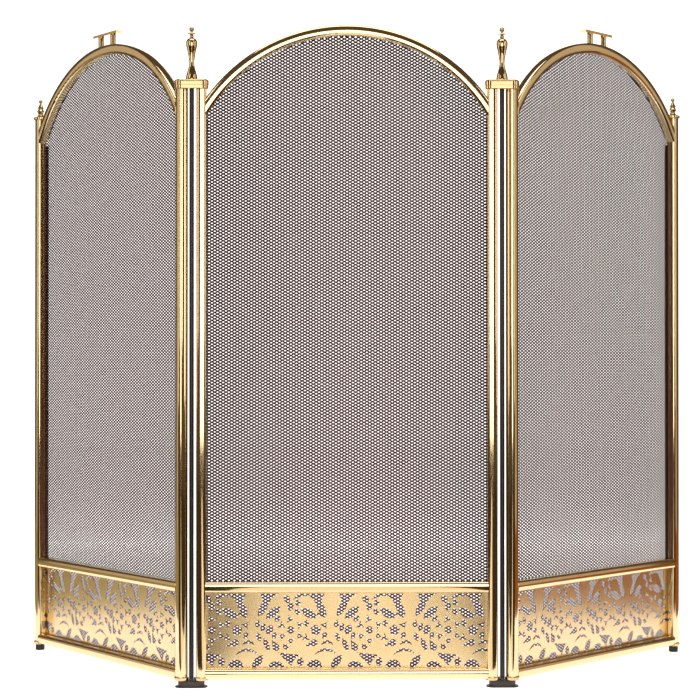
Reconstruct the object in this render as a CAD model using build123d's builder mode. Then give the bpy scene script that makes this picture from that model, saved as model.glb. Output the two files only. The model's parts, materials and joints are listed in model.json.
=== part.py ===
from build123d import *
import os
from math import cos, radians, sin, sqrt

os.makedirs("parts", exist_ok=True)

# A three-panel folding fireplace screen. Lengths are in millimetres, angles in degrees.
# The origin is on the floor under the middle of the whole screen, +Z is up, +X runs
# along the middle panel and -Y is the side that faces the room.

# ---- Driving dimensions ----
panel_pitch = 357.6  # from post centre to post centre across one panel
column_pitch = 24.4  # from post centre to post centre across one hinge column
left_fold = 52.0  # how far the left panel stands folded back from the middle one
right_fold = 46.0  # and the right panel
arch_top = 813.0  # floor to the top of the arches

tube = 12.7  # half-inch square tube, used for every post, arch and rail
tube_wall = 1.2
tube_corner = 2.8  # outer corner radius of the tube
arch_radius = 206.35  # to the middle of the bent tube
post_bottom = 8.3
post_top = 733.9
outer_post_top = 734.5
lower_rail_middle = 15.65
upper_rail_middle = 122.55

sheet_thickness = 0.7
mesh_thickness = 0.8
strip_thickness = 1.0
strip_width = 7.0
strip_offset = 3.0  # the strips behind the posts stand this far inboard of the post's middle

collar_radius = 9.0
collar_height = 4.5

outer_cap_radius = 9.6
cap_radius = 9.0
cap_ring_radius = 8.6  # the narrower ring under the cap
cap_ring_height = 4.4
cap_bottom = 738.5
cap_height = 7.5
foot_height = 8.0
tie_rod_radius = 2.9
pin_radius = 3.0
pin_clearance = 0.05  # running fit of a hinge pin in its bush
seat_clearance = 0.02  # fit of a pin, stud or rod in the piece that holds it

# ---- Worked out from them ----
half_pitch = panel_pitch / 2
half_tube = tube / 2
opening = panel_pitch - tube  # clear width between the two posts of a panel
arch_middle = arch_top - half_tube - arch_radius  # height of the arch's centre
sheet_back = half_tube + sheet_thickness  # depths are measured back from the tubes' middle
mesh_back = sheet_back + mesh_thickness
strip_back = mesh_back + strip_thickness
cap_top = cap_bottom + cap_height

side_reach = half_pitch + column_pitch
left_reach = side_reach + panel_pitch * cos(radians(left_fold))
right_reach = side_reach + panel_pitch * cos(radians(right_fold))
outer_depth = panel_pitch * sin(radians(left_fold))
panel_x = (left_reach - right_reach) / 2  # X of the middle panel's middle
panel_line = -(outer_depth + outer_cap_radius - collar_radius) / 2  # Y of the middle panel


# ---- Frames ----
def panel_frame(middle_x, middle_y, turn):
    """Floor plane of one panel: X along the panel, Y towards its back, Z up."""
    along = Vector(cos(radians(turn)), sin(radians(turn)), 0)
    return Plane(origin=(middle_x, middle_y, 0), x_dir=along, z_dir=(0, 0, 1))


def elevation(frame, behind=0.0):
    """Upright plane of a panel, seen from the front: X along the panel and Y up."""
    return Plane(origin=frame.origin + frame.y_dir * behind, x_dir=frame.x_dir, z_dir=-frame.y_dir)


def side_frame(side, fold):
    """Frame of a side panel: side is -1 on the left and 1 on the right."""
    along = side_reach + half_pitch * cos(radians(fold))
    back = half_pitch * sin(radians(fold))
    return panel_frame(panel_x + side * along, panel_line + back, side * fold)


column_reach = half_pitch + column_pitch / 2
centre_frame = panel_frame(panel_x, panel_line, 0)
left_frame = side_frame(-1, left_fold)
right_frame = side_frame(1, right_fold)
left_column_frame = panel_frame(panel_x - column_reach, panel_line, 0)
right_column_frame = panel_frame(panel_x + column_reach, panel_line, 0)


def save(part, name):
    part.label = name
    export_step(part, f"parts/{name}.step")


# ---- Steps that several pieces share ----
def tube_section(hollow=True):
    """The rounded square outline of the tube, open inside if it is hollow."""
    RectangleRounded(tube, tube, tube_corner)
    if hollow:
        inside = tube - 2 * tube_wall
        RectangleRounded(inside, inside, tube_corner - tube_wall, mode=Mode.SUBTRACT)


def cut_round_posts(frame):
    """Copes the piece in hand to the outsides of the panel's two posts."""
    with BuildSketch(frame) as outlines:
        with Locations((-half_pitch, 0), (half_pitch, 0)):
            tube_section(hollow=False)
    extrude(outlines.sketch, amount=arch_top, mode=Mode.SUBTRACT)


screw_hole_radius = 1.25
screw_radius = 1.2
screw_head_radius = 2.2
screw_head_height = 0.9
screw_reach = 5.0  # how far a screw runs forward from the back of the strips


def drill_for_screws(frame, centres):
    """Screw holes through whatever lies between the strips' back and the tubes' back wall."""
    with BuildSketch(elevation(frame, strip_back)) as circles:
        with Locations(*centres):
            Circle(screw_hole_radius)
    extrude(circles.sketch, amount=screw_reach, mode=Mode.SUBTRACT)


def on_arch(turn):
    """Place on the arch's middle line, turned clockwise from its top by an angle."""
    return (arch_radius * sin(radians(turn)), arch_middle + arch_radius * cos(radians(turn)))


arch_screws = [on_arch(turn) for turn in (-48, -24, 0, 24, 48)]
upper_rail_screws = [(x, upper_rail_middle) for x in (-120, 0, 120)]
lower_rail_screws = [(x, lower_rail_middle) for x in (-150, -50, 50, 150)]


# ---- Handle sizes ----
handle_spread = 15.0  # from the handle's middle to each standoff
handle_length = 58.0
handle_width = 9.0
handle_thickness = 3.5
handle_lift = 12.5  # from the top of the arch to the underside of the bar
standoff_radius = 3.75
handle_screw_radius = 1.75
handle_screw_head = 3.2
handle_screw_bite = 5.0  # how far the screws run below the top of the arch


# ---- Posts, arch and rails ----
def make_post(frame, x, top, name):
    with BuildPart() as post:
        with BuildSketch(frame.offset(post_bottom)):
            with Locations((x, 0)):
                tube_section()
        extrude(amount=top - post_bottom)
    save(post.part, name)


arch_sweep = 61.0  # the bent tube is made this far each side of its top, then coped
cope_reach = opening / 2 + 1.2  # the coped ends stop here, feathered over the posts' corners


def make_arch(frame, handled, name):
    """Square tube bent round the arch's centre and coped to the posts."""
    start = radians(arch_sweep)
    outward = frame.x_dir * -sin(start) + frame.z_dir * cos(start)
    forward = frame.x_dir * cos(start) + frame.z_dir * sin(start)
    centre = frame.origin + frame.z_dir * arch_middle
    section = Plane(origin=centre + outward * arch_radius, x_dir=frame.y_dir, z_dir=forward)
    with BuildPart() as arch:
        with BuildSketch(section):
            tube_section()
        revolve(axis=Axis(centre, frame.y_dir), revolution_arc=2 * arch_sweep)
        with BuildSketch(elevation(frame, tube)):
            with Locations((0, arch_top)):
                Rectangle(2 * cope_reach, arch_top)
        extrude(amount=2 * tube, mode=Mode.INTERSECT)
        cut_round_posts(frame)
        drill_for_screws(frame, arch_screws)
        if handled:
            with BuildSketch(frame.offset(arch_top - handle_screw_bite)):
                with Locations((-handle_spread, 0), (handle_spread, 0)):
                    Circle(handle_screw_radius + seat_clearance)
            extrude(amount=handle_screw_bite, mode=Mode.SUBTRACT)
    save(arch.part, name)


def make_rail(frame, height, screws, name):
    start = frame.origin + frame.z_dir * height - frame.x_dir * cope_reach
    with BuildPart() as rail:
        with BuildSketch(Plane(origin=start, x_dir=frame.y_dir, z_dir=frame.x_dir)):
            tube_section()
        extrude(amount=2 * cope_reach)
        cut_round_posts(frame)
        drill_for_screws(frame, screws)
    save(rail.part, name)


# ---- Pierced sheet ----
# The holes are cut from a few shapes: leaves, crescents, three-pointed stars, small
# triangles, circles and rosettes. One repeat of the border runs from one plain stem to the
# next. Places are given from the foot of the stem, X along the sheet and Y up.
repeat_width = 97.0
stem_places = [repeat_width * repeat - 20.0 for repeat in (-2, -1, 0, 1)]
pattern_foot = 22.5
pattern_height = 91.0
pierced_half_width = half_pitch - 4
sheet_half_width = half_pitch - 2
sheet_foot = 13.3
sheet_top = 127.0


def leaf(length, width):
    """A pointed oval along X, between two equal arcs."""
    with BuildSketch() as shape:
        with BuildLine():
            ThreePointArc((-length / 2, 0), (0, width / 2), (length / 2, 0))
            ThreePointArc((length / 2, 0), (0, -width / 2), (-length / 2, 0))
        make_face()
    return shape.sketch


def crescent(length, rise, thickness):
    """Two arcs between the same tips, the outer one higher than the inner."""
    with BuildSketch() as shape:
        with BuildLine():
            ThreePointArc((-length / 2, 0), (0, rise), (length / 2, 0))
            ThreePointArc((length / 2, 0), (0, rise - thickness), (-length / 2, 0))
        make_face()
    return shape.sketch


def star(reach, waist):
    """Three points joined by arcs that bow inwards."""
    points = [(reach * cos(radians(a)), reach * sin(radians(a))) for a in (90, 210, 330)]
    waists = [(waist * cos(radians(a)), waist * sin(radians(a))) for a in (150, 270, 30)]
    with BuildSketch() as shape:
        with BuildLine():
            for i in range(3):
                ThreePointArc(points[i], waists[i], points[(i + 1) % 3])
        make_face()
    return shape.sketch


def rosette(reach, petals=5):
    """A ring of overlapping round petals."""
    with BuildSketch() as shape:
        Circle(reach * 0.55)
        with PolarLocations(reach * 0.58, petals):
            Circle(reach * 0.42)
    return shape.sketch


def drop(length, width):
    """A round-backed drop: a half circle behind two straight sides that meet in a point."""
    with BuildSketch() as shape:
        with BuildLine():
            ThreePointArc((0, width / 2), (-width / 2, 0), (0, -width / 2))
            Polyline((0, -width / 2), (length - width / 2, 0), (0, width / 2))
        make_face()
    return shape.sketch


def corner_leaf():
    """The large leaf that hangs from the top edge and sweeps down towards the stem."""
    with BuildSketch() as shape:
        with BuildLine():
            Line((0, 0), (25.5, 0))
            ThreePointArc((25.5, 0), (16.5, -5), (11, -14))
            ThreePointArc((11, -14), (6.5, -23), (-1.5, -28))
            ThreePointArc((-1.5, -28), (-0.6, -19), (3.5, -12))
            ThreePointArc((3.5, -12), (3, -5), (0, 0))
        make_face()
    return shape.sketch


def fork():
    """The large three-armed opening near the bottom edge."""
    with BuildSketch() as shape:
        with BuildLine():
            ThreePointArc((-14, 7), (-6, -2), (2, -9.5))
            ThreePointArc((2, -9.5), (6.5, -1), (13.5, 4))
            ThreePointArc((13.5, 4), (0, 5.2), (-14, 7))
        make_face()
    return shape.sketch


def half_moon(length, height):
    with BuildSketch() as shape:
        with BuildLine():
            ThreePointArc((-length / 2, 0), (-length / 8, height), (length / 2, 0))
            Line((length / 2, 0), (-length / 2, 0))
        make_face()
    return shape.sketch


# Each row is a hole and its places in one repeat: X, Y and turn.
border = [
    (corner_leaf(), [(9, 91, 0)]),
    (corner_leaf().mirror(Plane.YZ), [(90, 91, 0)]),
    (crescent(20, 5.5, 4), [(60, 85.5, 14)]),
    (leaf(23, 10), [(26, 67.5, 40), (70, 66.5, -30)]),
    (leaf(21, 9), [(104, 7.2, 50)]),
    (crescent(15, 6, 3.6), [(83, 61.5, -14), (92.5, 27.5, 0)]),
    (crescent(28, 8.5, 3.4), [(91, 15, 0)]),
    (leaf(10.5, 7.5), [(43, 84, 115), (47.5, 75, 80)]),
    (drop(9.5, 6.6), [(56.5, 79.5, 100), (7, 53, 80)]),
    (leaf(9, 6), [(56, 68.5, 130), (31.5, 60, 45), (67.2, 54.5, 100), (27.6, 39.2, 70)]),
    (star(6.4, 2.2), [(46.5, 59.4, 20), (36.5, 51.8, 0), (59, 52.5, 40), (37.2, 38.6, 50)]),
    (star(6.4, 2.2), [(58.5, 38.8, 10), (47.7, 32.8, 60), (66.5, 36.5, 0), (89.5, 52, 80)]),
    (Circle(4.5), [(47.7, 46.2, 0)]),
    (rosette(6.6), [(78.5, 46, 18)]),
    (leaf(11, 6), [(13.8, 49.5, 68), (8.4, 37.5, 110)]),
    (leaf(13, 8.5), [(21.6, 46.5, 62)]),
    (leaf(18, 6.4), [(18, 28, -68)]),
    (drop(15, 9), [(29.6, 25, 118)]),
    (leaf(8.5, 6), [(41.5, 25.5, -40), (89.3, 39.4, 60)]),
    (drop(17, 8.5), [(76.5, 30.5, 200)]),
    (fork(), [(46.5, 11.5, 0)]),
    (half_moon(20, 7), [(29.8, 0.5, 0)]),
    (leaf(11, 8), [(59.5, 7, 80)]),
    (half_moon(19, 9), [(77, 0.5, 0)]),
]


def pattern_holes():
    """Every hole of the border, trimmed where the posts cover the sheet's ends."""
    with BuildSketch() as holes:
        for shape, places in border:
            for x, y, turn in places:
                for stem in stem_places:
                    if abs(stem + x) < pierced_half_width:
                        with Locations(Location((stem + x, pattern_foot + y, 0), (0, 0, turn))):
                            add(shape)
        with Locations((0, pattern_foot + pattern_height / 2)):
            Rectangle(2 * pierced_half_width, pattern_height, mode=Mode.INTERSECT)
    return holes.sketch


holes = pattern_holes()


def make_pierced_sheet(frame, name):
    """Sheet brass across the backs of the two rails, pierced with the border."""
    with BuildPart() as sheet:
        with BuildSketch(elevation(frame, sheet_back)):
            with Locations((0, (sheet_top + sheet_foot) / 2)):
                Rectangle(2 * sheet_half_width, sheet_top - sheet_foot)
            add(holes, mode=Mode.SUBTRACT)
        extrude(amount=sheet_thickness)
        drill_for_screws(frame, upper_rail_screws + lower_rail_screws)
    save(sheet.part, name)


# ---- Mesh and the strips that hold it ----
mesh_half_width = half_pitch - 1
mesh_radius = 205.35
strip_foot = 13.3
strip_top = 699.0
rail_strip_height = 8.0
strip_reach = half_pitch - 7  # the arch and rail strips stop just short of the post strips


def make_mesh(frame, name):
    """The mesh behind the whole opening, as a thin plate with an arched top."""
    spring = arch_middle + sqrt(mesh_radius**2 - mesh_half_width**2)
    crown = arch_middle + mesh_radius
    with BuildPart() as mesh:
        with BuildSketch(elevation(frame, mesh_back)):
            with BuildLine():
                Polyline(
                    (-mesh_half_width, spring),
                    (-mesh_half_width, lower_rail_middle),
                    (mesh_half_width, lower_rail_middle),
                    (mesh_half_width, spring),
                )
                ThreePointArc((mesh_half_width, spring), (0, crown), (-mesh_half_width, spring))
            make_face()
        extrude(amount=mesh_thickness)
        drill_for_screws(frame, arch_screws + upper_rail_screws + lower_rail_screws)
    save(mesh.part, name)


def make_retainer(frame, name):
    """Flat strips behind the mesh: one on each post, one round the arch, one on each rail."""
    post_strip_middle = (strip_foot + strip_top) / 2
    post_strip_x = half_pitch - strip_offset
    with BuildPart() as strips:
        with BuildSketch(elevation(frame, strip_back)):
            with Locations((0, arch_middle)):
                Circle(arch_radius + strip_width / 2)
                Circle(arch_radius - strip_width / 2, mode=Mode.SUBTRACT)
            with Locations((0, arch_top)):
                Rectangle(2 * strip_reach, 2 * (arch_top - strip_top), mode=Mode.INTERSECT)
            with Locations((-post_strip_x, post_strip_middle), (post_strip_x, post_strip_middle)):
                Rectangle(strip_width, strip_top - strip_foot)
            with Locations((0, lower_rail_middle), (0, upper_rail_middle)):
                Rectangle(2 * strip_reach, rail_strip_height)
        extrude(amount=strip_thickness)
        drill_for_screws(frame, arch_screws + upper_rail_screws + lower_rail_screws)
    save(strips.part, name)


def make_retainer_screws(frame, name):
    """Slotted screws through the strips, the mesh and the sheet into the tubes."""
    centres = arch_screws + upper_rail_screws + lower_rail_screws
    with BuildPart() as screws:
        with BuildSketch(elevation(frame, strip_back)):
            with Locations(*centres):
                Circle(screw_radius)
        extrude(amount=screw_reach - 0.4)
        with BuildSketch(elevation(frame, strip_back + screw_head_height)):
            with Locations(*centres):
                Circle(screw_head_radius)
        extrude(amount=screw_head_height, taper=-12)
        with BuildSketch(elevation(frame, strip_back + screw_head_height)):
            with Locations(*centres):
                Rectangle(3 * screw_head_radius, 0.6)
        extrude(amount=screw_head_height / 2, mode=Mode.SUBTRACT)
    save(screws.part, name)


# ---- Collars at the feet of the posts, and bushes in their ends ----
def make_collars(frame, name):
    """Round collars at the feet of the two square posts, notched for the lower rail."""
    with BuildPart() as collars:
        with BuildSketch(frame.offset(post_bottom)):
            with Locations((-half_pitch, 0), (half_pitch, 0)):
                Circle(collar_radius)
        extrude(amount=collar_height)
        fillet(collars.edges().filter_by(GeomType.CIRCLE), 1.0)
        with BuildSketch(frame.offset(post_bottom)):
            with Locations((-half_pitch, 0), (half_pitch, 0)):
                tube_section(hollow=False)
        extrude(amount=arch_top, mode=Mode.SUBTRACT)
        with BuildSketch(frame.offset(lower_rail_middle - half_tube)):
            Rectangle(2 * cope_reach, tube)
        extrude(amount=tube, mode=Mode.SUBTRACT)
    save(collars.part, name)


bush_length = 14.0
bush_setback = 0.2  # the bushes sit just inside the ends of the posts
bush_width = tube - 2 * tube_wall


def make_bushes(frame, places, name):
    """Square plugs in the ends of the posts, bored for the hinge pins."""
    with BuildPart() as bushes:
        for foot in (post_bottom + bush_setback, post_top - bush_setback - bush_length):
            with BuildSketch(frame.offset(foot)):
                with Locations(*[(x, 0) for x in places]):
                    RectangleRounded(bush_width, bush_width, tube_corner - tube_wall)
                    Circle(pin_radius + pin_clearance, mode=Mode.SUBTRACT)
            extrude(amount=bush_length)
    save(bushes.part, name)


# ---- Hinge columns ----
pin_bottom_foot = 3.0
pin_bottom_top = 22.0
pin_top_foot = 721.0
pin_top_top = 743.5
foot_rise = 2.0  # thickness of the foot's flange
boss_top = 11.5
nut_recess_height = 4.0
nut_recess_radius = 6.1
nut_across_flats = 10.0
nut_thickness = 3.0
rod_top = 756.0


def make_cap(frame, name):
    """Rounded bar with a ring under it, across the tops of two neighbouring posts."""
    ring_foot = cap_bottom - cap_ring_height
    with BuildPart() as cap:
        with BuildSketch(frame.offset(cap_bottom)):
            SlotCenterToCenter(column_pitch, 2 * cap_radius)
        extrude(amount=cap_height)
        fillet(cap.faces().sort_by(Axis.Z)[-1].edges(), 2.6)
        fillet(cap.faces().sort_by(Axis.Z)[0].edges(), 0.5)
        with BuildSketch(frame.offset(ring_foot)):
            SlotCenterToCenter(column_pitch, 2 * cap_ring_radius)
        extrude(amount=cap_ring_height)
        fillet(cap.faces().sort_by(Axis.Z)[0].edges(), 1.0)
        with BuildSketch(frame.offset(ring_foot)):
            with Locations((-column_pitch / 2, 0), (column_pitch / 2, 0)):
                Circle(pin_radius + seat_clearance)
        extrude(amount=pin_top_top - ring_foot, mode=Mode.SUBTRACT)
        with BuildSketch(frame.offset(ring_foot)):
            Circle(tie_rod_radius + seat_clearance)
        extrude(amount=cap_ring_height + cap_height, mode=Mode.SUBTRACT)
    save(cap.part, name)


def profile_plane(frame, x, height):
    """Upright plane through a vertical axis, X outwards from it and Y up."""
    centre = frame.origin + frame.x_dir * x + frame.z_dir * height
    return Plane(origin=centre, x_dir=frame.x_dir, z_dir=-frame.y_dir)


def make_finial(frame, name):
    """Tall turned finial: bell base, vase, bead, disc and ball."""
    ball = 3.2
    ball_middle = 62.0
    neck = 1.7
    ball_foot = ball_middle - sqrt(ball**2 - neck**2)
    plane = profile_plane(frame, 0, cap_top)
    with BuildPart() as finial:
        with BuildSketch(plane):
            with BuildLine():
                Polyline((0, 0), (7.4, 0), (7.5, 0.6), (7.3, 1.4))
                Spline((7.3, 1.4), (6.9, 4.2), (5.9, 8.5), (4.6, 13), (3.4, 18.5), (3.6, 25), tangents=[(-0.1, 1), (0.15, 1)])
                Spline((3.6, 25), (5.2, 34.5), (6.8, 41.5), (7.05, 45), tangents=[(0.15, 1), (0, 1)])
                ThreePointArc((7.05, 45), (5.6, 49.2), (2.0, 51.3))
                ThreePointArc((2.0, 51.3), (2.6, 53.3), (1.8, 55.4))
                Polyline((1.8, 55.4), (4.6, 55.8), (4.95, 56.4), (4.6, 57.0), (neck, 57.6), (neck, ball_foot))
                ThreePointArc((neck, ball_foot), (ball, ball_middle), (0, ball_middle + ball))
                Line((0, ball_middle + ball), (0, 0))
            make_face()
        revolve(axis=Axis(plane.origin, (0, 0, 1)))
        with BuildSketch(frame.offset(cap_top)):
            Circle(tie_rod_radius + seat_clearance)
        extrude(amount=rod_top - cap_top + 0.3, mode=Mode.SUBTRACT)
    save(finial.part, name)


def make_tie_rod(frame, name):
    """Thin round rod between the two posts that draws the finial and cap down on the foot."""
    foot = nut_recess_height - nut_thickness
    with BuildPart() as rod:
        with BuildSketch(frame.offset(foot)):
            Circle(tie_rod_radius)
        extrude(amount=rod_top - foot)
    save(rod.part, name)


def make_rod_nut(frame, name):
    with BuildPart() as nut:
        with BuildSketch(frame.offset(nut_recess_height - nut_thickness)):
            RegularPolygon(nut_across_flats / 2, 6, major_radius=False)
            Circle(tie_rod_radius + seat_clearance, mode=Mode.SUBTRACT)
        extrude(amount=nut_thickness)
    save(nut.part, name)


def make_foot(frame, name):
    """Black block under two posts, on a thin flange, bored for both pins and the rod."""
    with BuildPart() as foot:
        with BuildSketch(frame):
            SlotCenterToCenter(22.0, 18.0)
        extrude(amount=foot_rise)
        fillet(foot.faces().sort_by(Axis.Z)[-1].edges(), 1.2)
        with BuildSketch(frame.offset(foot_rise / 2)):
            SlotCenterToCenter(17.0, 15.5)
        extrude(amount=foot_height - foot_rise / 2)
        with BuildSketch(frame.offset(foot_height)):
            Rectangle(4.8, 12.0)
        extrude(amount=boss_top - foot_height)
        with BuildSketch(frame.offset(pin_bottom_foot)):
            with Locations((-column_pitch / 2, 0), (column_pitch / 2, 0)):
                Circle(pin_radius + seat_clearance)
        extrude(amount=foot_height, mode=Mode.SUBTRACT)
        with BuildSketch(frame):
            Circle(nut_recess_radius)
        extrude(amount=nut_recess_height, mode=Mode.SUBTRACT)
        with BuildSketch(frame):
            Circle(tie_rod_radius + seat_clearance)
        extrude(amount=boss_top, mode=Mode.SUBTRACT)
    save(foot.part, name)


def make_pivot_pins(frame, name):
    with BuildPart() as pins:
        for foot, top in ((pin_bottom_foot, pin_bottom_top), (pin_top_foot, pin_top_top)):
            with BuildSketch(frame.offset(foot)):
                with Locations((-column_pitch / 2, 0), (column_pitch / 2, 0)):
                    Circle(pin_radius)
            extrude(amount=top - foot)
    save(pins.part, name)


# ---- Ends of the outer posts ----
outer_cap_height = 3.9
spigot_width = bush_width - 0.1
spigot_length = 10.0
stud_radius = 2.0
stud_length = 7.0
stem_radius = 5.0
stem_top = 22.0
rubber_foot_radius = 6.2


def make_outer_cap(frame, x, name):
    """Disc on the outer post, with a square spigot that plugs the tube."""
    with BuildPart() as cap:
        with BuildSketch(frame.offset(outer_post_top)):
            with Locations((x, 0)):
                Circle(outer_cap_radius)
        extrude(amount=outer_cap_height)
        fillet(cap.edges(), 1.0)
        with BuildSketch(frame.offset(outer_post_top - spigot_length)):
            with Locations((x, 0)):
                RectangleRounded(spigot_width, spigot_width, tube_corner - tube_wall)
        extrude(amount=spigot_length + 1)
        with BuildSketch(frame.offset(outer_post_top + outer_cap_height)):
            with Locations((x, 0)):
                Circle(stud_radius + seat_clearance)
        extrude(amount=-(stud_length + 0.5), mode=Mode.SUBTRACT)
    save(cap.part, name)


def make_outer_finial(frame, x, name):
    """Short turned finial with a stud that holds it down in the cap."""
    ball = 2.7
    ball_middle = 21.8
    neck = 1.3
    ball_foot = ball_middle - sqrt(ball**2 - neck**2)
    plane = profile_plane(frame, x, outer_post_top + outer_cap_height)
    with BuildPart() as finial:
        with BuildSketch(plane):
            with BuildLine():
                Polyline((0, -stud_length), (stud_radius, -stud_length), (stud_radius, 0), (6.3, 0), (6.5, 0.9))
                Spline((6.5, 0.9), (4.2, 2.4), (3.5, 4.6), tangents=[(-1, 0.4), (0, 1)])
                Spline((3.5, 4.6), (5.0, 8.2), (3.2, 11.6), tangents=[(0.2, 1), (-0.4, 1)])
                Polyline((3.2, 11.6), (4.4, 12.2), (4.6, 12.8), (4.4, 13.4), (3.5, 14.0), (neck, ball_foot))
                ThreePointArc((neck, ball_foot), (ball, ball_middle), (0, ball_middle + ball))
                Line((0, ball_middle + ball), (0, -stud_length))
            make_face()
        revolve(axis=Axis(plane.origin, (0, 0, 1)))
    save(finial.part, name)


def make_rubber_foot(frame, x, name):
    with BuildPart() as foot:
        with BuildSketch(frame):
            with Locations((x, 0)):
                Circle(rubber_foot_radius)
        extrude(amount=post_bottom)
        fillet(foot.edges().sort_by(Axis.Z)[0], 0.8)
        with BuildSketch(frame.offset(post_bottom)):
            with Locations((x, 0)):
                Circle(stem_radius)
        extrude(amount=stem_top - post_bottom)
    save(foot.part, name)


# ---- Handle ----
bar_underside = arch_top + handle_lift
bar_topside = bar_underside + handle_thickness
arch_outside = arch_radius + half_tube


def make_handle_bar(frame, name):
    """Flat bar along the top of the arch, countersunk for its two screws."""
    with BuildPart() as bar:
        with BuildSketch(frame.offset(bar_underside)):
            Rectangle(handle_length, handle_width)
        extrude(amount=handle_thickness)
        fillet(bar.edges().filter_by(Axis.Z), 1.0)
        fillet(bar.faces().sort_by(Axis.Z)[-1].edges(), 0.6)
        with BuildSketch(frame.offset(bar_topside)):
            with Locations((-handle_spread, 0), (handle_spread, 0)):
                Circle(handle_screw_head + seat_clearance)
        extrude(amount=-(handle_screw_head - handle_screw_radius), taper=45, mode=Mode.SUBTRACT)
        with BuildSketch(frame.offset(bar_underside)):
            with Locations((-handle_spread, 0), (handle_spread, 0)):
                Circle(handle_screw_radius + seat_clearance)
        extrude(amount=handle_thickness, mode=Mode.SUBTRACT)
    save(bar.part, name)


def make_handle_standoffs(frame, name):
    """Two round pillars whose feet follow the curve of the arch."""
    centre = frame.origin + frame.z_dir * arch_middle
    with BuildPart() as standoffs:
        with BuildSketch(frame.offset(arch_top - 3)):
            with Locations((-handle_spread, 0), (handle_spread, 0)):
                Circle(standoff_radius)
                Circle(handle_screw_radius + seat_clearance, mode=Mode.SUBTRACT)
        extrude(amount=handle_lift + 3)
        with BuildSketch(elevation(frame, tube)):
            with Locations((0, arch_middle)):
                Circle(arch_outside)
        extrude(amount=2 * tube, mode=Mode.SUBTRACT)
    save(standoffs.part, name)


def make_handle_screws(frame, name):
    """Countersunk screws down through the bar and the pillars into the arch."""
    with BuildPart() as screws:
        with BuildSketch(frame.offset(arch_top - handle_screw_bite)):
            with Locations((-handle_spread, 0), (handle_spread, 0)):
                Circle(handle_screw_radius)
        extrude(amount=bar_topside - arch_top + handle_screw_bite)
        with BuildSketch(frame.offset(bar_topside)):
            with Locations((-handle_spread, 0), (handle_spread, 0)):
                Circle(handle_screw_head)
        extrude(amount=-(handle_screw_head - handle_screw_radius), taper=45)
        with BuildSketch(frame.offset(bar_topside)):
            with Locations((-handle_spread, 0), (handle_spread, 0)):
                Rectangle(2.2 * handle_screw_head, 0.8)
        extrude(amount=-0.8, mode=Mode.SUBTRACT)
    save(screws.part, name)


# ---- Middle panel ----
make_post(centre_frame, -half_pitch, post_top, "centre_left_post")
make_post(centre_frame, half_pitch, post_top, "centre_right_post")
make_collars(centre_frame, "centre_collars")
make_bushes(centre_frame, [-half_pitch, half_pitch], "centre_bushes")

# ---- Side panels: the hinge post is the one next to the middle panel ----
for side, frame, hinge_x in (("left", left_frame, half_pitch), ("right", right_frame, -half_pitch)):
    make_post(frame, hinge_x, post_top, f"{side}_hinge_post")
    make_post(frame, -hinge_x, outer_post_top, f"{side}_outer_post")
    make_collars(frame, f"{side}_collars")
    make_bushes(frame, [hinge_x], f"{side}_bushes")
    make_outer_cap(frame, -hinge_x, f"{side}_outer_cap")
    make_outer_finial(frame, -hinge_x, f"{side}_outer_finial")
    make_rubber_foot(frame, -hinge_x, f"{side}_rubber_foot")
    make_handle_bar(frame, f"{side}_handle_bar")
    make_handle_standoffs(frame, f"{side}_handle_standoffs")
    make_handle_screws(frame, f"{side}_handle_screws")

# ---- What all three panels have ----
for side, frame in (("left", left_frame), ("centre", centre_frame), ("right", right_frame)):
    make_arch(frame, side != "centre", f"{side}_arch")
    make_rail(frame, upper_rail_middle, upper_rail_screws, f"{side}_upper_rail")
    make_rail(frame, lower_rail_middle, lower_rail_screws, f"{side}_lower_rail")
    make_pierced_sheet(frame, f"{side}_pierced_sheet")
    make_mesh(frame, f"{side}_mesh")
    make_retainer(frame, f"{side}_mesh_retainer")
    make_retainer_screws(frame, f"{side}_retainer_screws")

# ---- Hinge columns ----
for side, frame in (("left", left_column_frame), ("right", right_column_frame)):
    make_cap(frame, f"{side}_column_cap")
    make_finial(frame, f"{side}_column_finial")
    make_tie_rod(frame, f"{side}_tie_rod")
    make_rod_nut(frame, f"{side}_rod_nut")
    make_foot(frame, f"{side}_column_foot")
    make_pivot_pins(frame, f"{side}_pivot_pins")
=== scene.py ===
# %% [markdown]
# # A folding fireplace screen
# Three arched panels of polished square brass tube stand on black feet. This lesson gives
# the CAD model its real surfaces: brass that mirrors the room, black wire mesh, rubber,
# plastic and plated steel. All lengths in the code are in metres, written as numbers of
# millimetres times MM where that reads better.

import json
import math

import bpy
import numpy as np
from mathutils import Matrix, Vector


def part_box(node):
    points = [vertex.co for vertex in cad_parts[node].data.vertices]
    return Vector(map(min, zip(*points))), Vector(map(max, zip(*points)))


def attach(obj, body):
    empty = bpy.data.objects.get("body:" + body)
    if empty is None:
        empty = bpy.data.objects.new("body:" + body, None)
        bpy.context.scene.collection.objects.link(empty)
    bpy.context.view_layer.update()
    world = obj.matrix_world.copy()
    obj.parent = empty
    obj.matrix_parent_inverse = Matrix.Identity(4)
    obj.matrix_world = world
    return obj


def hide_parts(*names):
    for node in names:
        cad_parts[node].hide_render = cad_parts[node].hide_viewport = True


MM = 0.001
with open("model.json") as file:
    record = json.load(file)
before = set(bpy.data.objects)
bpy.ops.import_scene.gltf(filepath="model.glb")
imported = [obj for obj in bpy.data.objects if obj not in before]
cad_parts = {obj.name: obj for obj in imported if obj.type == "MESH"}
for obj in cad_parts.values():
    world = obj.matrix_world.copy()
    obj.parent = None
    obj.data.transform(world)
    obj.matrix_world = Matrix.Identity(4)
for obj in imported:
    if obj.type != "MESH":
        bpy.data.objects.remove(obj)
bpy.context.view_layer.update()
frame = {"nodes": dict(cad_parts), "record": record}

# %% [markdown]
# ## Where the panels stand
# Each panel has a frame of its own: x runs along the panel, y points to its back and z up.
# The middle panel faces the room, and the side panels are folded back from it.

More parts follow.
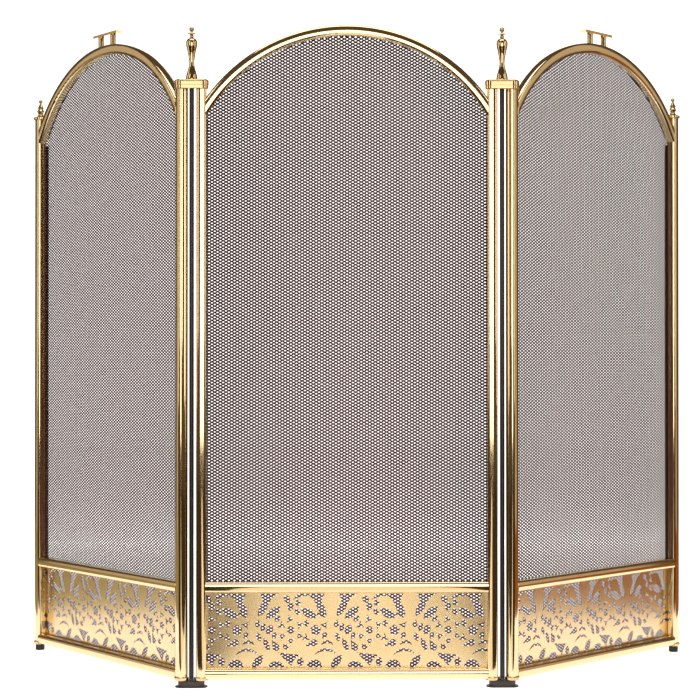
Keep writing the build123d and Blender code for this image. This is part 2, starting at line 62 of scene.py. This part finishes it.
# %% Panel frames
PANEL_PITCH = 357.6 * MM
COLUMN_PITCH = 24.4 * MM
LEFT_FOLD = math.radians(52.0)
RIGHT_FOLD = math.radians(46.0)
left_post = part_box("centre_left_post")
right_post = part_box("centre_right_post")
MIDDLE_X = (left_post[0][0] + right_post[1][0]) / 2
LINE_Y = (left_post[0][1] + left_post[1][1]) / 2


def panel_frame(side, fold):
    """Origin, direction along the panel and direction to its back, for side -1, 0 or 1."""
    along = np.array([math.cos(fold), side * math.sin(fold), 0.0])
    back = np.array([-side * math.sin(fold), math.cos(fold), 0.0])
    reach = abs(side) * (PANEL_PITCH / 2 + COLUMN_PITCH)
    origin = np.array([MIDDLE_X + side * reach, LINE_Y, 0.0])
    return origin + side * along * PANEL_PITCH / 2, along, back


PANELS = {
    "left": panel_frame(-1, LEFT_FOLD),
    "centre": panel_frame(0, 0.0),
    "right": panel_frame(1, RIGHT_FOLD),
}
for name, (origin, along, back) in PANELS.items():
    print(name, np.round(origin, 4), np.round(along, 3), np.round(back, 3))

# %% [markdown]
# ## Colours and shader nodes
# Colours are written the way a paint chip is, as sRGB hex, and turned into the linear
# numbers that a renderer adds up. One small function adds a node with its settings and
# links, so that a material reads as a list of what happens to the surface.


# %% Colour and node helpers
def linear(code, alpha=1.0):
    """An sRGB hex colour as linear red, green, blue and alpha."""
    values = []
    for start in (0, 2, 4):
        part = int(code[start:start + 2], 16) / 255
        values.append(part / 12.92 if part <= 0.04045 else ((part + 0.055) / 1.055) ** 2.4)
    return (*values, alpha)


def add(tree, kind, inputs=None, **settings):
    """Adds a node. inputs maps a socket's name or number to a value or to another output."""
    new = tree.nodes.new(kind)
    for name, value in settings.items():
        setattr(new, name, value)
    for socket, value in (inputs or {}).items():
        if isinstance(value, bpy.types.NodeSocket):
            tree.links.new(value, new.inputs[socket])
        else:
            new.inputs[socket].default_value = value
    return new


def new_material(name):
    """An empty material with a Principled shader; returns it, its tree and the shader."""
    made = bpy.data.materials.new(name)
    made.use_nodes = True
    tree = made.node_tree
    tree.nodes.clear()
    shader = add(tree, "ShaderNodeBsdfPrincipled")
    add(tree, "ShaderNodeOutputMaterial", {"Surface": shader.outputs["BSDF"]})
    return made, tree, shader


def noise(tree, size, stretch=(1, 1, 1), detail=2.0):
    """Noise in the object's own space. size is the width of one patch in metres."""
    place = add(tree, "ShaderNodeTexCoord").outputs["Object"]
    moved = add(tree, "ShaderNodeMapping", {"Vector": place, "Scale": stretch})
    return add(tree, "ShaderNodeTexNoise", {
        "Vector": moved.outputs["Vector"], "Scale": 1 / size, "Detail": detail,
    }).outputs["Fac"]


def spread(tree, value, low, high):
    """Turns a 0..1 value into low..high."""
    return add(tree, "ShaderNodeMapRange", {
        "Value": value, "From Min": 0.3, "From Max": 0.7, "To Min": low, "To Max": high,
    }).outputs["Result"]


def tint(tree, value, first, second):
    """Blends two colours by a value."""
    return add(tree, "ShaderNodeMix", {
        "Factor": value, "A": linear(first), "B": linear(second),
    }, data_type="RGBA").outputs[2]


def bump(tree, height, depth):
    """A shallow relief. depth is its real height in metres."""
    return add(tree, "ShaderNodeBump", {
        "Height": height, "Strength": 1.0, "Distance": depth,
    }).outputs["Normal"]


print("helpers ready")

# %% [markdown]
# ## Black wire mesh
# The CAD has a flat plate where the mesh is. Here it becomes wires. Two families of
# parallel wires cross at a steep diamond: one opening is 6.95 mm wide and 3.93 mm
# high. Every wire is a straight line cut off at the outline of the plate, which is a
# rectangle with a round top, so its two ends can be worked out without any search.

# %% Wire mesh
CELL_WIDTH = 6.95 * MM
CELL_HEIGHT = 3.93 * MM
WIRE_WIDE = 1.8 * MM
WIRE_DEEP = 0.36 * MM
MESH_SIDE = PANEL_PITCH / 2 - 1.0 * MM
MESH_FOOT = 15.65 * MM
ARCH_MIDDLE = 600.3 * MM
MESH_RADIUS = 205.35 * MM
MESH_FRONT = 7.05 * MM


def cut_lines(heights, slope):
    """Where the lines z = height + slope * x enter and leave the outline.

    The sides give |x| <= half width, the foot gives one bound from z >= foot, and the
    round top gives the two roots of x^2 + (z - middle)^2 = radius^2 that lie above the
    arch's middle. Lines that miss the outline are left out.
    """
    low = np.full(heights.shape, -MESH_SIDE)
    high = np.full(heights.shape, MESH_SIDE)
    foot = (MESH_FOOT - heights) / slope
    low, high = (np.maximum(low, foot), high) if slope > 0 else (low, np.minimum(high, foot))
    rise = heights - ARCH_MIDDLE
    square = 1 + slope ** 2
    inside = (slope * rise) ** 2 - square * (rise ** 2 - MESH_RADIUS ** 2)
    root = np.sqrt(np.maximum(inside, 0))
    first = (-slope * rise - root) / square
    last = (-slope * rise + root) / square
    low = np.where(rise + slope * first > 0, np.maximum(low, first), low)
    high = np.where(rise + slope * last > 0, np.minimum(high, last), high)
    kept = (high - low > 2 * MM) & ((inside > 0) | (rise < 0))
    return heights[kept], low[kept], high[kept]


def wires(slope, depth, sides=6):
    """Vertices and faces of one family of wires, in the panel's own x, y and z.

    A wire is an oval tube: each end is a ring of `sides` points, wide across the wire in
    the plane of the mesh and shallow front to back, and the ring's own polygon closes it.
    """
    first, last = (-0.12, 0.92) if slope > 0 else (-0.1, 1.0)
    heights = np.arange(first, last, CELL_HEIGHT)
    heights, low, high = cut_lines(heights, slope)
    ends = np.stack([low, high], 1)
    centres = np.stack([ends, np.full(ends.shape, depth), heights[:, None] + slope * ends], 2)
    turn = np.arange(sides) * 2 * math.pi / sides
    across = np.array([-slope, 0.0, 1.0]) / math.hypot(1, slope)
    ring = np.cos(turn)[:, None] * across * WIRE_WIDE / 2
    ring = ring + np.sin(turn)[:, None] * np.array([0.0, 1.0, 0.0]) * WIRE_DEEP / 2
    points = (centres[:, :, None, :] + ring).reshape(-1, 3)
    start = np.arange(len(heights))[:, None] * 2 * sides
    this = np.arange(sides)
    after = (this + 1) % sides
    wall = np.stack([this, after, after + sides, this + sides], 1)
    walls = (start[:, :, None] + wall).reshape(-1, 4)
    near = start + this[::-1]
    far = start + sides + this
    return points, walls, np.concatenate([near, far])


def build_mesh(name, points, quads, ends, frame_of):
    """A mesh object from local points, moved into the panel's frame."""
    origin, along, back = frame_of
    placed = origin + points[:, :1] * along + points[:, 1:2] * back
    placed = placed + points[:, 2:] * np.array([0.0, 0.0, 1.0])
    data = bpy.data.meshes.new(name)
    loops = np.concatenate([quads.ravel(), ends.ravel()])
    sizes = np.concatenate([np.full(len(quads), 4), np.full(len(ends), ends.shape[1])])
    data.vertices.add(len(placed))
    data.vertices.foreach_set("co", placed.ravel())
    data.loops.add(len(loops))
    data.loops.foreach_set("vertex_index", loops)
    data.polygons.add(len(sizes))
    data.polygons.foreach_set("loop_start", np.concatenate([[0], np.cumsum(sizes)[:-1]]))
    smooth = np.concatenate([np.ones(len(quads), bool), np.zeros(len(ends), bool)])
    data.polygons.foreach_set("use_smooth", smooth)
    data.update(calc_edges=True)
    data.validate()
    made = bpy.data.objects.new(name, data)
    bpy.context.collection.objects.link(made)
    return made


SLOPE = CELL_HEIGHT / CELL_WIDTH
meshes = {}
for name, frame_of in PANELS.items():
    front = wires(SLOPE, MESH_FRONT + 0.2 * MM)
    rear = wires(-SLOPE, MESH_FRONT + 0.56 * MM)
    shift = len(front[0])
    points = np.concatenate([front[0], rear[0]])
    quads = np.concatenate([front[1], rear[1] + shift])
    ends = np.concatenate([front[2], rear[2] + shift])
    piece = build_mesh(f"{name}_wire_mesh", points, quads, ends, frame_of)
    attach(piece, f"{name}_panel")
    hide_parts(f"{name}_mesh")
    meshes[name] = piece
    print(piece.name, "wires:", len(ends) // 2, "faces:", len(piece.data.polygons))

# %% [markdown]
# ## Polished brass
# The tubes, caps and finials are brass, buffed to a mirror and lacquered. Buffing leaves a
# surface that is smooth but not quite flat, so the reflections waver. A metal needs no
# transparency and keeps the usual refractive index; its colour is what it reflects.
# The tube mirrors the room in narrow upright stripes, as a tube with crowned faces would.
# The CAD tube has flat faces and round corners, and its shape stays as it is. So the crown
# is only a relief that bends the reflections, worth about 0.4 mm over a flat of 7 mm.


# %% Brass
def brass(name, light, dark, smooth, rough, grain, stretch, depth):
    """Brass of two close shades. grain is the width of a buffing mark, depth its relief."""
    made, tree, shader = new_material(name)
    cloud = noise(tree, 35 * MM)
    marks = noise(tree, grain, stretch)
    tree.links.new(tint(tree, cloud, light, dark), shader.inputs["Base Color"])
    tree.links.new(spread(tree, marks, smooth, rough), shader.inputs["Roughness"])
    tree.links.new(bump(tree, cloud, depth), shader.inputs["Normal"])
    shader.inputs["Metallic"].default_value = 1.0
    return made


def maths(tree, what, first, second=0.0):
    """One step of arithmetic on two values."""
    return add(tree, "ShaderNodeMath", {0: first, 1: second}, operation=what).outputs[0]


def along_axis(tree, place, origin, direction):
    """Distance of a point from origin, measured along a direction."""
    moved = add(tree, "ShaderNodeVectorMath", {0: place, 1: origin}, operation="SUBTRACT")
    return add(tree, "ShaderNodeVectorMath", {0: moved.outputs[0], 1: direction},
               operation="DOT_PRODUCT").outputs["Value"]


def tube_brass(panel, kind):
    """Brass tube whose flat faces reflect as if they were crowned.

    The relief falls with the square of the distance r from the tube's middle line:
    height = -CROWN * r^2. In the panel's frame r^2 = back^2 + s^2, where s is
    |along| - half the post pitch on a post, z - the rail's middle on a rail, and
    sqrt(along^2 + (z - arch middle)^2) - bend radius on an arch.
    """
    made = brass(f"brass drawn tube, buffed, {panel} {kind}", "efd8b0", "ebd2a5",
                 0.06, 0.10, 0.6 * MM, (1, 1, 0.05), 0.02 * MM)
    tree = made.node_tree
    shader = tree.nodes["Principled BSDF"]
    origin, along, back = PANELS[panel]
    place = add(tree, "ShaderNodeTexCoord").outputs["Object"]
    across = along_axis(tree, place, origin, along)
    deep = along_axis(tree, place, origin, back)
    height = add(tree, "ShaderNodeSeparateXYZ", {0: place}).outputs["Z"]
    if kind == "post":
        side = maths(tree, "SUBTRACT", maths(tree, "ABSOLUTE", across), PANEL_PITCH / 2)
    elif kind == "arch":
        rise = maths(tree, "SUBTRACT", height, ARCH_MIDDLE)
        square = maths(tree, "ADD", maths(tree, "MULTIPLY", across, across),
                       maths(tree, "MULTIPLY", rise, rise))
        side = maths(tree, "SUBTRACT", maths(tree, "SQRT", square), ARCH_RADIUS)
    else:
        side = maths(tree, "SUBTRACT", height, RAIL_MIDDLES[kind])
    square = maths(tree, "ADD", maths(tree, "MULTIPLY", side, side),
                   maths(tree, "MULTIPLY", deep, deep))
    waves = noise(tree, 35 * MM)
    relief = maths(tree, "SUBTRACT", maths(tree, "MULTIPLY", waves, 0.02 * MM),
                   maths(tree, "MULTIPLY", square, CROWN))
    tree.links.new(bump(tree, relief, 1.0), shader.inputs["Normal"])
    return made


CROWN = 30.0  # per metre: tips the edge of a 7 mm flat by 12 degrees
ARCH_RADIUS = 206.35 * MM
RAIL_MIDDLES = {"upper rail": 122.55 * MM, "lower rail": 15.65 * MM}
# Drawn square tube, buffed along its length and lacquered.
TUBES = {(panel, kind): tube_brass(panel, kind)
         for panel in PANELS for kind in ("post", "arch", "upper rail", "lower rail")}
# Rolled sheet brass, pressed through with holes: a softer shine than the tube.
SHEET = brass("brass rolled sheet, satin polish", "f1d9ae", "edd3a5",
              0.20, 0.28, 0.4 * MM, (1, 1, 12), 0.03 * MM)
# Finials, caps and collars, turned on a lathe: fine rings run round them. Their colour is a darker copy of
# the tube's brass, painted shade that dims the bright reflections on them.
TURNED_SHADED = brass("brass turned and polished", "dcc296", "d2b483",
               0.07, 0.12, 0.5 * MM, (0.1, 0.1, 3), 0.01 * MM)
# Machine screws of plain bright brass.
BRASS_SCREW = brass("brass bright screw", "e8c98f", "dfbd80",
                    0.16, 0.24, 0.3 * MM, (1, 1, 1), 0.01 * MM)
print("brass materials:", len(TUBES), "for tubes |", SHEET.name, "|", TURNED_SHADED.name, "|", BRASS_SCREW.name)

# %% [markdown]
# ## Black paint, plastic, rubber and steel
# The mesh and the strips behind it wear heat-proof dark paint, a purple brown on the thin
# wires. The feet are moulded plastic with a fine spark-eroded grain, and the outer feet are
# rubber.


# %% Dark surfaces and steel
def plain(name, light, dark, smooth, rough, grain, depth, metallic=0.0, ior=1.5):
    """A surface of two close shades with an even grain. depth is the grain's real relief."""
    made, tree, shader = new_material(name)
    fine = noise(tree, grain)
    patch = noise(tree, grain * 25)
    tree.links.new(tint(tree, patch, light, dark), shader.inputs["Base Color"])
    tree.links.new(spread(tree, fine, smooth, rough), shader.inputs["Roughness"])
    tree.links.new(bump(tree, fine, depth), shader.inputs["Normal"])
    shader.inputs["Metallic"].default_value = metallic
    if metallic == 0:
        shader.inputs["IOR"].default_value = ior
    return made


# Steel wire dipped in heat-proof paint, which dries matt and a little brown.
WIRE = plain("steel wire, heat-proof black paint", "704543", "5c3735", 0.48, 0.62, 0.8 * MM, 0.01 * MM)
# Flat steel strip with the same paint, sprayed.
STRIP = plain("steel strip, sprayed black", "241d19", "1b1614", 0.42, 0.55, 0.6 * MM, 0.01 * MM)
# Round steel rod with a smooth stove enamel.
ROD = plain("steel rod, black stove enamel", "2b231f", "211b18", 0.25, 0.34, 1.0 * MM, 0.005 * MM)
# Moulded nylon foot with a fine grain from the mould.
FOOT = plain("plastic, moulded fine grain", "3a302a", "2c2521", 0.40, 0.52, 0.4 * MM, 0.02 * MM, ior=1.53)
# Moulded rubber tip.
RUBBER = plain("rubber, moulded matt", "26211e", "1c1917", 0.62, 0.75, 0.5 * MM, 0.03 * MM, ior=1.52)
# White nylon bush, turned from bar.
NYLON = plain("nylon, moulded smooth", "dad6ca", "cfcabd", 0.35, 0.45, 0.6 * MM, 0.01 * MM, ior=1.53)
# Zinc-plated steel screws and nuts.
ZINC = plain("steel, bright zinc plate", "b9bbc0", "a9abb2", 0.24, 0.36, 0.5 * MM, 0.01 * MM, metallic=1.0)
# Ground steel hinge pins.
PIN = plain("steel, ground", "c2c2c4", "b2b3b6", 0.16, 0.26, 0.3 * MM, 0.005 * MM, metallic=1.0)

# %% [markdown]
# ## Dress every CAD piece
# The record says which material slot each node belongs to, so one table is enough.

# %% Give the nodes their materials
BY_SLOT = {
    "brass_sheet": SHEET, "turned_brass": TURNED_SHADED, "screw_brass": BRASS_SCREW,
    "mesh_black": WIRE, "strip_black": STRIP, "rod_black": ROD, "foot_black": FOOT,
    "rubber": RUBBER, "bush_nylon": NYLON, "screw_steel": ZINC, "pin_steel": PIN,
}
slot_of = {part["node"]: part["material_slot"] for part in frame["record"]["subparts"]}


def material_of(name):
    """A tube's material belongs to its panel and its place; any other's to its slot."""
    if slot_of[name] != "brass_tube":
        return BY_SLOT[slot_of[name]]
    panel, _, rest = name.partition("_")
    return TUBES[panel, "post" if rest.endswith("post") else rest.replace("_", " ")]


for name, piece in frame["nodes"].items():
    piece.data.materials.clear()
    piece.data.materials.append(material_of(name))
for piece in meshes.values():
    piece.data.materials.append(WIRE)
print("nodes dressed:", len(slot_of))

# %% [markdown]
# ## The studio
# The screen stands on a plain white floor in a white room, whose far wall fills the openings
# of the mesh. Polished brass has no look of its own: it shows whatever stands around it. So
# a tall white reflector stands before the middle panel, with a dark carpet under it, tan
# and wood-brown boards, doors and two narrow windows at the sides, and white paper behind.
# These only serve the reflections, so the camera does not see them, and from every side the
# picture shows the screen on a white floor. The white room is the other way round: only
# the camera sees it, and it neither lights the brass nor shows in it.


# %% Boards, carpets and lamps
def board(name, corners, code, glow, faces=((0, 1, 2, 3),)):
    """A flat four-cornered board of one colour. glow is how much light it gives off."""
    data = bpy.data.meshes.new(name)
    data.from_pydata(corners, [], faces)
    made = bpy.data.objects.new(name, data)
    bpy.context.collection.objects.link(made)
    paper, tree, shader = new_material(name)
    shader.inputs["Base Color"].default_value = linear(code)
    shader.inputs["Roughness"].default_value = 0.9
    shader.inputs["Specular IOR Level"].default_value = 0.0
    shader.inputs["Emission Color"].default_value = linear(code)
    shader.inputs["Emission Strength"].default_value = glow
    data.materials.append(paper)
    made.visible_camera = name in ("floor", "white room")
    return made


def upright(name, start, end, low, high, code, glow):
    """A board that stands on the line from start to end, from height low to height high."""
    (x0, y0), (x1, y1) = start, end
    return board(name, [(x0, y0, low), (x1, y1, low), (x1, y1, high), (x0, y0, high)], code, glow)


def flat(name, left, right, front, rear, height, code, glow):
    """A board that lies level."""
    return board(name, [(left, front, height), (right, front, height),
                        (right, rear, height), (left, rear, height)], code, glow)


def lamp(name, centre, target, size, watts):
    """A rectangular lamp of `size` metres that points at target."""
    light = bpy.data.lights.new(name, "AREA")
    light.shape = "RECTANGLE"
    light.size, light.size_y = size
    light.energy = watts
    made = bpy.data.objects.new(name, light)
    bpy.context.collection.objects.link(made)
    made.location = centre
    aim = Vector(target) - Vector(centre)
    made.rotation_euler = aim.to_track_quat("-Z", "Y").to_euler()
    return made


ROOM_HALF = 6.0
ROOM_TOP = 7.0
plan = [(-ROOM_HALF, -ROOM_HALF), (ROOM_HALF, -ROOM_HALF), (ROOM_HALF, ROOM_HALF), (-ROOM_HALF, ROOM_HALF)]
walls = ((0, 1, 2, 3), (4, 5, 6, 7), (0, 1, 5, 4), (1, 2, 6, 5), (2, 3, 7, 6), (3, 0, 4, 7))
corners = [(x, y, z) for z in (-0.6 * MM, ROOM_TOP) for x, y in plan]
room = board("white room", corners, "ffffff", 1.35, faces=walls)
room.visible_diffuse = room.visible_glossy = room.visible_transmission = room.visible_shadow = False
flat("floor", -0.78, 0.78, -0.27, 1.6, -0.1 * MM, "ffffff", 0.85)
upright("backdrop", (-0.95, 1.6), (0.95, 1.6), -0.01, 1.6, "ffffff", 1.0)
flat("carpet", -2.5, 2.5, -3.4, -0.27, -0.3 * MM, "4a3c30", 0.10)
flat("white path", -0.17, 0.17, -3.2, -0.27, 0.2 * MM, "fff8e6", 0.55)
flat("left boards", -2.5, -0.78, -0.27, 1.6, -0.2 * MM, "a3966f", 0.35)
flat("right boards", 0.78, 2.5, -0.27, 1.6, -0.2 * MM, "9a6234", 0.35)
upright("reflector", (-0.85, -3.2), (0.85, -3.2), 0.16, 1.25, "fffaf0", 2.6)
upright("left wall", (-2.2, 0.05), (-2.2, 0.86), 0.0, 2.2, "d8cdb8", 0.28)
upright("left door", (-2.2, 0.86), (-2.2, 1.6), 0.0, 2.2, "6e6352", 0.15)
upright("left window", (-2.2, -0.66), (-2.2, -0.2), 0.3, 2.2, "fffaf0", 1.6)
upright("right wall", (2.2, -0.4), (2.2, 0.46), 0.0, 2.2, "d3c6ae", 0.31)
upright("right door", (2.2, 0.46), (2.2, 1.6), 0.0, 2.2, "6e6352", 0.15)
upright("right window", (2.2, -1.05), (2.2, -0.6), 0.3, 2.2, "fffaf0", 1.6)

world = bpy.data.worlds.new("room")
bpy.context.scene.world = world
world.use_nodes = True
world.node_tree.nodes["Background"].inputs["Color"].default_value = linear("6c5d4a")
world.node_tree.nodes["Background"].inputs["Strength"].default_value = 0.6
bpy.context.scene.view_settings.view_transform = "Standard"

lamp("left lamp", (-1.7, -2.0, 1.3), (-0.1, 0, 0.4), (0.35, 1.8), 7)
lamp("right lamp", (1.8, -1.9, 1.3), (0.1, 0, 0.4), (0.30, 1.8), 6)
lamp("top lamp", (0, -0.6, 2.8), (0, 0, 0.4), (2.4, 1.2), 25)
print("studio ready")

# %% [markdown]
# ## The camera
# A level view from a little above half the screen's height, from far enough back that the
# panels keep their shape. A long lens does the rest.

# %% Camera
SENSOR = 36.0  # width of the film in millimetres
FRAME_WIDTH = 700
FOCAL = 1750.8  # focal length in picture widths times FRAME_WIDTH
lens = bpy.data.cameras.new("camera")
lens.sensor_width = SENSOR
lens.lens = SENSOR * FOCAL / FRAME_WIDTH
camera = bpy.data.objects.new("camera", lens)
bpy.context.collection.objects.link(camera)
camera.location = (-0.0309, -2.2943, 0.3986)
camera.rotation_euler = (math.radians(90.396), 0.0, math.radians(-0.545))
bpy.context.scene.camera = camera
print("camera lens, mm:", round(lens.lens, 1))
